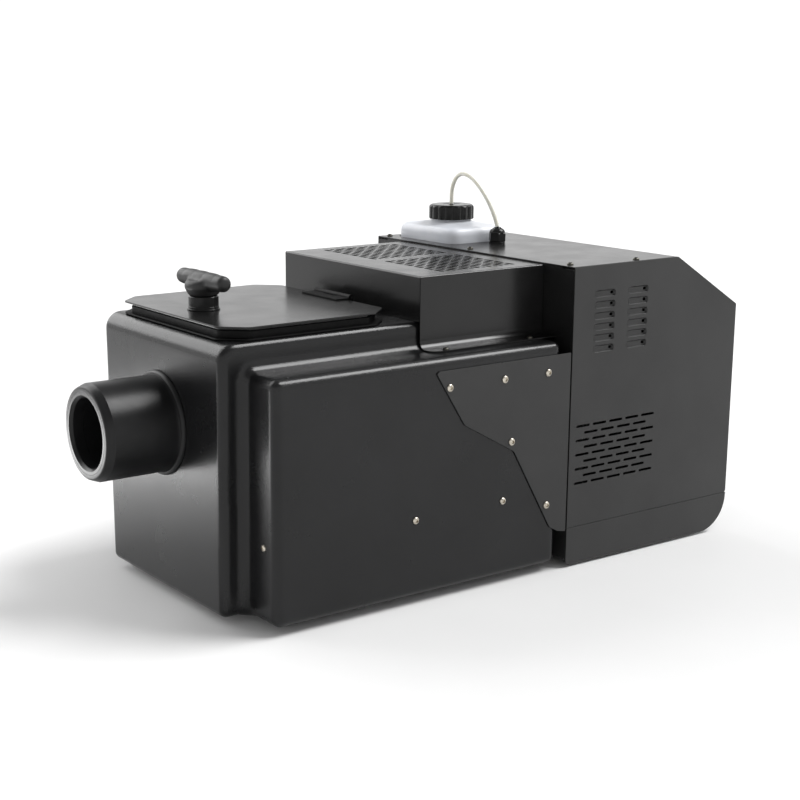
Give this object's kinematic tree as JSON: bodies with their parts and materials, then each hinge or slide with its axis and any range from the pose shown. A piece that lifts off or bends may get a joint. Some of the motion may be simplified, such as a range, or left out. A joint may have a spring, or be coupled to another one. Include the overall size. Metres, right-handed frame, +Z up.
{
  "type": "fog machine",
  "caption": "Low-lying fog machine: moulded ice tank with round outlet nozzle and hinged lid, fan hood, and rear sheet-metal housing with fluid bottle.",
  "frame": {"origin": "centre of the whole machine's footprint, on the ground under its feet", "axes": "+Z up, -Y the way the fog leaves the nozzle, +X to the right when the nozzle faces the viewer"},
  "size_m": [0.393, 0.819, 0.4548],
  "materials": {
    "moulded_tank": "satin moulded polyethylene with a fine grain",
    "coated_metal": "fine-textured satin black powder coat",
    "rubber": "soft black rubber",
    "black_plastic": "semi-gloss black plastic",
    "bare_steel": "plated steel",
    "aluminium": "cast or drawn aluminium",
    "brass": "plain brass",
    "bottle_plastic": "milky translucent polyethylene",
    "tube_plastic": "yellowed clear tubing",
    "circuit_board": "green solder mask",
    "display_glass": "dark display window"
  },
  "bodies": {
    "base": {"ice_tank": "moulded_tank", "outlet_nozzle": "moulded_tank", "lid_frame": "coated_metal", "hinge_leaf_fixed": "coated_metal", "fan_hood": "coated_metal", "side_plate_left": "coated_metal", "side_plate_right": "coated_metal", "top_cover": "coated_metal", "side_cover_left": "coated_metal", "side_cover_right": "coated_metal", "base_pan": "coated_metal", "front_bulkhead": "coated_metal", "rear_panel": "coated_metal", "lid_gasket": "rubber", "foot_front_left": "rubber", "foot_front_right": "rubber", "foot_rear_left": "rubber", "foot_rear_right": "rubber", "gland_body": "black_plastic", "gland_nut": "black_plastic", "fan_frame_left": "black_plastic", "fan_frame_right": "black_plastic", "mains_inlet": "black_plastic", "fuse_holder": "black_plastic", "switch_frame": "black_plastic", "dmx_in": "black_plastic", "dmx_out": "black_plastic", "display_bezel": "black_plastic", "pump": "black_plastic", "ice_grate": "bare_steel", "hinge_pin": "bare_steel", "bottle_tray": "bare_steel", "heater_jacket": "bare_steel", "heater_block": "aluminium", "power_supply": "aluminium", "thermal_switch": "brass", "fog_pipe": "brass", "fluid_bottle": "bottle_plastic", "suction_tube": "tube_plastic", "dip_tube": "tube_plastic", "feed_tube": "tube_plastic", "control_board": "circuit_board", "display_window": "display_glass"},
    "lid": {"ice_lid": "coated_metal", "hinge_leaf_lid": "coated_metal", "latch_collar": "black_plastic"},
    "latch": {"t_handle": "rubber", "latch_cam": "bare_steel"},
    "fan_left": {"fan_rotor_left": "black_plastic"},
    "fan_right": {"fan_rotor_right": "black_plastic"},
    "cap": {"bottle_cap": "black_plastic"},
    "plug": {"drain_plug": "black_plastic"},
    "rocker": {"power_rocker": "black_plastic"},
    "key_1": {"menu_button_1": "rubber"},
    "key_2": {"menu_button_2": "rubber"},
    "key_3": {"menu_button_3": "rubber"},
    "key_4": {"menu_button_4": "rubber"}
  },
  "joints": [
    {"name": "lid_hinge", "type": "hinge", "parent": "base", "child": "lid", "pos_m": [0, -0.0815, 0.329], "axis": [-1, 0, 0], "range_deg": [0, 110]},
    {"name": "latch_turn", "type": "hinge", "parent": "lid", "child": "latch", "pos_m": [0, -0.2585, 0.35], "axis": [0, 0, -1], "range_deg": [0, 90]},
    {"name": "fan_left_spin", "type": "hinge", "parent": "base", "child": "fan_left", "pos_m": [-0.063, 0.0455, 0.35], "axis": [0, 0, 1], "continuous": true},
    {"name": "fan_right_spin", "type": "hinge", "parent": "base", "child": "fan_right", "pos_m": [0.063, 0.0455, 0.35], "axis": [0, 0, 1], "continuous": true},
    {"name": "cap_turn", "type": "hinge", "parent": "base", "child": "cap", "pos_m": [-0.121, 0.1935, 0.4], "axis": [0, 0, 1], "range_deg": [0, 360]},
    {"name": "drain_plug_turn", "type": "hinge", "parent": "base", "child": "plug", "pos_m": [0, 0.0125, 0.006], "axis": [0, 0, -1], "range_deg": [0, 360]},
    {"name": "power_rocker_tilt", "type": "hinge", "parent": "base", "child": "rocker", "pos_m": [-0.038, 0.4025, 0.105], "axis": [1, 0, 0], "range_deg": [0, 14]},
    {"name": "menu_button_1_press", "type": "slide", "parent": "base", "child": "key_1", "axis": [0, -0.5265, -0.8502], "range_m": [0, 0.001], "stiffness_N_per_m": 400},
    {"name": "menu_button_2_press", "type": "slide", "parent": "base", "child": "key_2", "axis": [0, -0.5265, -0.8502], "range_m": [0, 0.001], "stiffness_N_per_m": 400},
    {"name": "menu_button_3_press", "type": "slide", "parent": "base", "child": "key_3", "axis": [0, -0.5265, -0.8502], "range_m": [0, 0.001], "stiffness_N_per_m": 400},
    {"name": "menu_button_4_press", "type": "slide", "parent": "base", "child": "key_4", "axis": [0, -0.5265, -0.8502], "range_m": [0, 0.001], "stiffness_N_per_m": 400}
  ]
}
